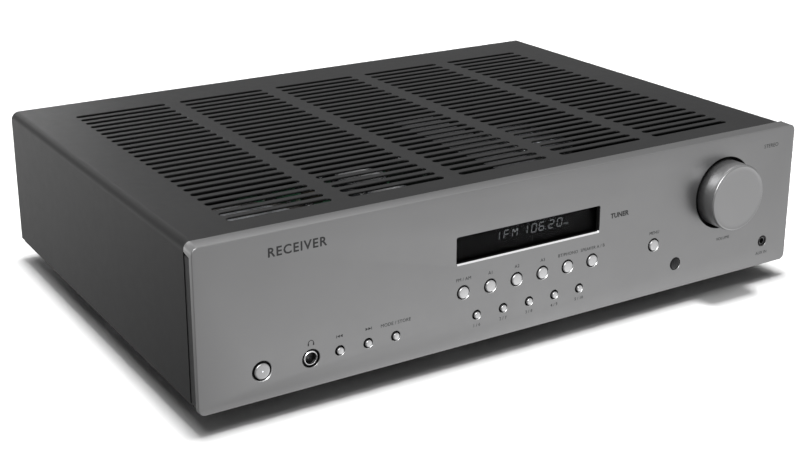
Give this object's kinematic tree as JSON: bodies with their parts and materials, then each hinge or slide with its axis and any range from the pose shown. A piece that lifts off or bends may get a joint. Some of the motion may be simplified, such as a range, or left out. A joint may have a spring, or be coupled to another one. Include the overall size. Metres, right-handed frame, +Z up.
{
  "type": "stereo receiver",
  "caption": "Full-width stereo receiver: metal front panel with turning volume knob, push buttons and display window, slotted steel cover, and a rear panel of sockets and terminals.",
  "frame": {"origin": "under the middle of the bounding box, on the surface that the feet stand on", "axes": "+X to the right seen from the front, front panel towards -Y, +Z up"},
  "size_m": [0.43, 0.333, 0.107],
  "materials": {
    "front_panel": "fine satin grain, bead-blasted and anodised",
    "fascia_frame": "moulded satin",
    "top_cover": "fine textured black paint",
    "base_chassis": "zinc plated",
    "rear_panel": "fine textured black paint",
    "foot_front_left": "matte",
    "foot_front_right": "matte",
    "foot_rear_left": "matte",
    "foot_rear_right": "matte",
    "display_window": "polished smoked acrylic",
    "display_module": "dark display glass",
    "volume_encoder": "zinc plated",
    "headphone_jack": "bright turned metal",
    "aux_jack": "moulded satin",
    "ir_window": "polished smoked acrylic",
    "front_board": "solder resist",
    "main_board": "solder resist",
    "transformer": "copper and iron under wound polyester tape",
    "transformer_clamp": "fine textured black paint",
    "heatsink": "black anodised extrusion",
    "capacitor_left": "shrink sleeve over an aluminium can",
    "capacitor_right": "shrink sleeve over an aluminium can",
    "tuner_module": "zinc plated",
    "ribbon_cable": "moulded satin",
    "mains_inlet": "moulded satin",
    "switch_housing": "moulded satin",
    "speaker_block_a": "moulded satin",
    "speaker_block_b": "moulded satin",
    "line_socket_block": "moulded satin",
    "antenna_block": "moulded satin",
    "volume_knob": "fine satin grain, bead-blasted and anodised",
    "volume_shaft": "zinc plated",
    "power_button": "bright turned metal",
    "tune_down_button": "bright turned metal",
    "tune_up_button": "bright turned metal",
    "mode_button": "bright turned metal",
    "menu_button": "bright turned metal",
    "fm_am_button": "bright turned metal",
    "source_1_button": "bright turned metal",
    "source_2_button": "bright turned metal",
    "source_3_button": "bright turned metal",
    "bt_phono_button": "bright turned metal",
    "speaker_button": "bright turned metal",
    "preset_1_button": "bright turned metal",
    "preset_2_button": "bright turned metal",
    "preset_3_button": "bright turned metal",
    "preset_4_button": "bright turned metal",
    "preset_5_button": "bright turned metal",
    "power_rocker": "moulded satin",
    "terminal_a1": "moulded satin",
    "terminal_a2": "moulded gloss",
    "terminal_a3": "moulded satin",
    "terminal_a4": "moulded gloss",
    "terminal_b1": "moulded satin",
    "terminal_b2": "moulded gloss",
    "terminal_b3": "moulded satin",
    "terminal_b4": "moulded gloss",
    "am_lever_left": "moulded satin",
    "am_lever_right": "moulded satin",
    "ground_terminal": "gold plated, knurled"
  },
  "bodies": {
    "receiver": {"front_panel": "front_panel", "fascia_frame": "fascia_frame", "top_cover": "top_cover", "base_chassis": "base_chassis", "rear_panel": "rear_panel", "foot_front_left": "foot_front_left", "foot_front_right": "foot_front_right", "foot_rear_left": "foot_rear_left", "foot_rear_right": "foot_rear_right", "display_window": "display_window", "display_module": "display_module", "volume_encoder": "volume_encoder", "headphone_jack": "headphone_jack", "aux_jack": "aux_jack", "ir_window": "ir_window", "front_board": "front_board", "main_board": "main_board", "transformer": "transformer", "transformer_clamp": "transformer_clamp", "heatsink": "heatsink", "capacitor_left": "capacitor_left", "capacitor_right": "capacitor_right", "tuner_module": "tuner_module", "ribbon_cable": "ribbon_cable", "mains_inlet": "mains_inlet", "switch_housing": "switch_housing", "speaker_block_a": "speaker_block_a", "speaker_block_b": "speaker_block_b", "line_socket_block": "line_socket_block", "antenna_block": "antenna_block"},
    "volume": {"volume_knob": "volume_knob", "volume_shaft": "volume_shaft"},
    "power_button": {"power_button": "power_button"},
    "tune_down_button": {"tune_down_button": "tune_down_button"},
    "tune_up_button": {"tune_up_button": "tune_up_button"},
    "mode_button": {"mode_button": "mode_button"},
    "menu_button": {"menu_button": "menu_button"},
    "fm_am_button": {"fm_am_button": "fm_am_button"},
    "source_1_button": {"source_1_button": "source_1_button"},
    "source_2_button": {"source_2_button": "source_2_button"},
    "source_3_button": {"source_3_button": "source_3_button"},
    "bt_phono_button": {"bt_phono_button": "bt_phono_button"},
    "speaker_button": {"speaker_button": "speaker_button"},
    "preset_1_button": {"preset_1_button": "preset_1_button"},
    "preset_2_button": {"preset_2_button": "preset_2_button"},
    "preset_3_button": {"preset_3_button": "preset_3_button"},
    "preset_4_button": {"preset_4_button": "preset_4_button"},
    "preset_5_button": {"preset_5_button": "preset_5_button"},
    "power_rocker": {"power_rocker": "power_rocker"},
    "terminal_a1": {"terminal_a1": "terminal_a1"},
    "terminal_a2": {"terminal_a2": "terminal_a2"},
    "terminal_a3": {"terminal_a3": "terminal_a3"},
    "terminal_a4": {"terminal_a4": "terminal_a4"},
    "terminal_b1": {"terminal_b1": "terminal_b1"},
    "terminal_b2": {"terminal_b2": "terminal_b2"},
    "terminal_b3": {"terminal_b3": "terminal_b3"},
    "terminal_b4": {"terminal_b4": "terminal_b4"},
    "am_lever_left": {"am_lever_left": "am_lever_left"},
    "am_lever_right": {"am_lever_right": "am_lever_right"},
    "ground_terminal": {"ground_terminal": "ground_terminal"}
  },
  "joints": [
    {"name": "volume_turn", "type": "hinge", "parent": "receiver", "child": "volume", "pos_m": [0.1542, -0.1665, 0.07], "axis": [0, 1, 0], "continuous": true},
    {"name": "power_press", "type": "slide", "parent": "receiver", "child": "power_button", "axis": [0, 1, 0], "range_m": [0, 0.001], "stiffness_N_per_m": 800},
    {"name": "tune_down_press", "type": "slide", "parent": "receiver", "child": "tune_down_button", "axis": [0, 1, 0], "range_m": [0, 0.0008], "stiffness_N_per_m": 800},
    {"name": "tune_up_press", "type": "slide", "parent": "receiver", "child": "tune_up_button", "axis": [0, 1, 0], "range_m": [0, 0.0008], "stiffness_N_per_m": 800},
    {"name": "mode_press", "type": "slide", "parent": "receiver", "child": "mode_button", "axis": [0, 1, 0], "range_m": [0, 0.0008], "stiffness_N_per_m": 800},
    {"name": "menu_press", "type": "slide", "parent": "receiver", "child": "menu_button", "axis": [0, 1, 0], "range_m": [0, 0.0008], "stiffness_N_per_m": 800},
    {"name": "fm_am_press", "type": "slide", "parent": "receiver", "child": "fm_am_button", "axis": [0, 1, 0], "range_m": [0, 0.0008], "stiffness_N_per_m": 800},
    {"name": "source_1_press", "type": "slide", "parent": "receiver", "child": "source_1_button", "axis": [0, 1, 0], "range_m": [0, 0.0008], "stiffness_N_per_m": 800},
    {"name": "source_2_press", "type": "slide", "parent": "receiver", "child": "source_2_button", "axis": [0, 1, 0], "range_m": [0, 0.0008], "stiffness_N_per_m": 800},
    {"name": "source_3_press", "type": "slide", "parent": "receiver", "child": "source_3_button", "axis": [0, 1, 0], "range_m": [0, 0.0008], "stiffness_N_per_m": 800},
    {"name": "bt_phono_press", "type": "slide", "parent": "receiver", "child": "bt_phono_button", "axis": [0, 1, 0], "range_m": [0, 0.0008], "stiffness_N_per_m": 800},
    {"name": "speaker_press", "type": "slide", "parent": "receiver", "child": "speaker_button", "axis": [0, 1, 0], "range_m": [0, 0.0008], "stiffness_N_per_m": 800},
    {"name": "preset_1_press", "type": "slide", "parent": "receiver", "child": "preset_1_button", "axis": [0, 1, 0], "range_m": [0, 0.0008], "stiffness_N_per_m": 800},
    {"name": "preset_2_press", "type": "slide", "parent": "receiver", "child": "preset_2_button", "axis": [0, 1, 0], "range_m": [0, 0.0008], "stiffness_N_per_m": 800},
    {"name": "preset_3_press", "type": "slide", "parent": "receiver", "child": "preset_3_button", "axis": [0, 1, 0], "range_m": [0, 0.0008], "stiffness_N_per_m": 800},
    {"name": "preset_4_press", "type": "slide", "parent": "receiver", "child": "preset_4_button", "axis": [0, 1, 0], "range_m": [0, 0.0008], "stiffness_N_per_m": 800},
    {"name": "preset_5_press", "type": "slide", "parent": "receiver", "child": "preset_5_button", "axis": [0, 1, 0], "range_m": [0, 0.0008], "stiffness_N_per_m": 800},
    {"name": "mains_rock", "type": "hinge", "parent": "receiver", "child": "power_rocker", "pos_m": [-0.184, 0.1455, 0.074], "axis": [1, 0, 0], "range_deg": [0, 16]},
    {"name": "terminal_a1_unscrew", "type": "hinge", "parent": "receiver", "child": "terminal_a1", "pos_m": [-0.1205, 0.1531, 0.072], "axis": [0, 1, 0], "range_deg": [0, 900]},
    {"name": "terminal_a2_unscrew", "type": "hinge", "parent": "receiver", "child": "terminal_a2", "pos_m": [-0.1015, 0.1531, 0.072], "axis": [0, 1, 0], "range_deg": [0, 900]},
    {"name": "terminal_a3_unscrew", "type": "hinge", "parent": "receiver", "child": "terminal_a3", "pos_m": [-0.0825, 0.1531, 0.072], "axis": [0, 1, 0], "range_deg": [0, 900]},
    {"name": "terminal_a4_unscrew", "type": "hinge", "parent": "receiver", "child": "terminal_a4", "pos_m": [-0.0635, 0.1531, 0.072], "axis": [0, 1, 0], "range_deg": [0, 900]},
    {"name": "terminal_b1_unscrew", "type": "hinge", "parent": "receiver", "child": "terminal_b1", "pos_m": [-0.1205, 0.1531, 0.046], "axis": [0, 1, 0], "range_deg": [0, 900]},
    {"name": "terminal_b2_unscrew", "type": "hinge", "parent": "receiver", "child": "terminal_b2", "pos_m": [-0.1015, 0.1531, 0.046], "axis": [0, 1, 0], "range_deg": [0, 900]},
    {"name": "terminal_b3_unscrew", "type": "hinge", "parent": "receiver", "child": "terminal_b3", "pos_m": [-0.0825, 0.1531, 0.046], "axis": [0, 1, 0], "range_deg": [0, 900]},
    {"name": "terminal_b4_unscrew", "type": "hinge", "parent": "receiver", "child": "terminal_b4", "pos_m": [-0.0635, 0.1531, 0.046], "axis": [0, 1, 0], "range_deg": [0, 900]},
    {"name": "am_lever_left_lift", "type": "hinge", "parent": "receiver", "child": "am_lever_left", "pos_m": [0.168, 0.1515, 0.0514], "axis": [-1, 0, 0], "range_deg": [0, 18], "stiffness_Nm_per_rad": 0.05},
    {"name": "am_lever_right_lift", "type": "hinge", "parent": "receiver", "child": "am_lever_right", "pos_m": [0.184, 0.1515, 0.0514], "axis": [-1, 0, 0], "range_deg": [0, 18], "stiffness_Nm_per_rad": 0.05},
    {"name": "ground_unscrew", "type": "hinge", "parent": "receiver", "child": "ground_terminal", "pos_m": [0.137, 0.1473, 0.046], "axis": [0, 1, 0], "range_deg": [0, 900]}
  ]
}
